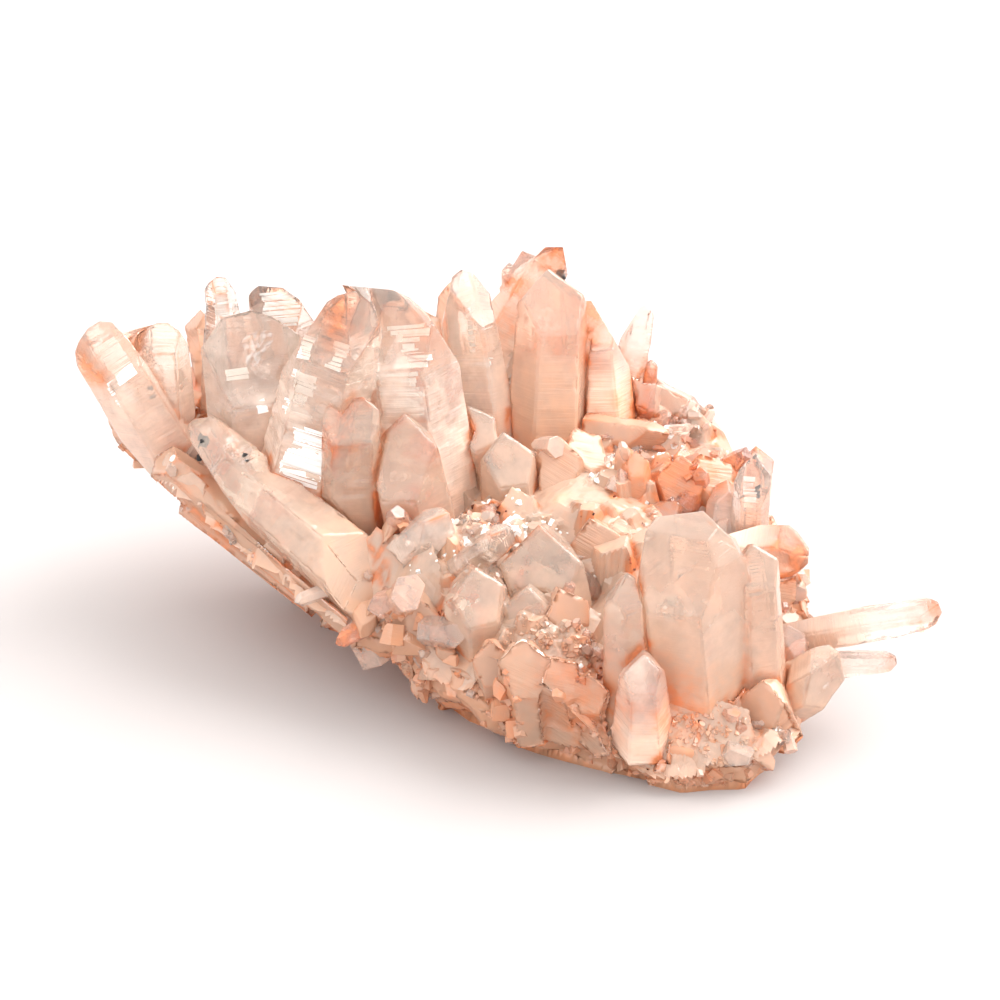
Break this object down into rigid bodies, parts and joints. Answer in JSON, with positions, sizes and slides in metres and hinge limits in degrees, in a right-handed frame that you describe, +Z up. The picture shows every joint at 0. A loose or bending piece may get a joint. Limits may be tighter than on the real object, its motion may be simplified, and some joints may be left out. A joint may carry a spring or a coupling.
{
  "type": "himalayan quartz crystal cluster",
  "caption": "Rose-stained quartz cluster: clear six-sided points splay from a tilted plate of massive quartz that rests on a worn flat.",
  "frame": {"origin": "on the ground, under the middle of the whole cluster", "axes": "+X along the plate from its raised left end to its low right end, +Y from the low front rim to the high back, +Z up"},
  "size_m": [0.1542, 0.0834, 0.0673],
  "materials": {
    "massive_quartz": "matte",
    "crystal_quartz": "polished"
  },
  "bodies": {
    "root": {"plate": "massive_quartz", "left_pair": "crystal_quartz", "left_spire": "crystal_quartz", "left_block": "crystal_quartz", "left_clear": "crystal_quartz", "centre_pair": "crystal_quartz", "back_fractured": "crystal_quartz", "back_milky": "crystal_quartz", "back_tall": "crystal_quartz", "back_rust": "crystal_quartz", "back_spike": "crystal_quartz", "back_thorn": "crystal_quartz", "ridge_plank": "crystal_quartz", "right_column": "crystal_quartz", "right_stump": "crystal_quartz", "right_knob": "crystal_quartz", "front_big": "crystal_quartz", "front_blade": "crystal_quartz", "front_point": "crystal_quartz", "right_long": "crystal_quartz", "right_long_low": "crystal_quartz", "right_corner": "crystal_quartz", "left_lying": "crystal_quartz", "middle_slab": "crystal_quartz", "middle_wedge": "crystal_quartz", "middle_bundle": "crystal_quartz", "front_round": "crystal_quartz", "middle_cap": "crystal_quartz", "middle_core": "crystal_quartz"}
  },
  "joints": []
}
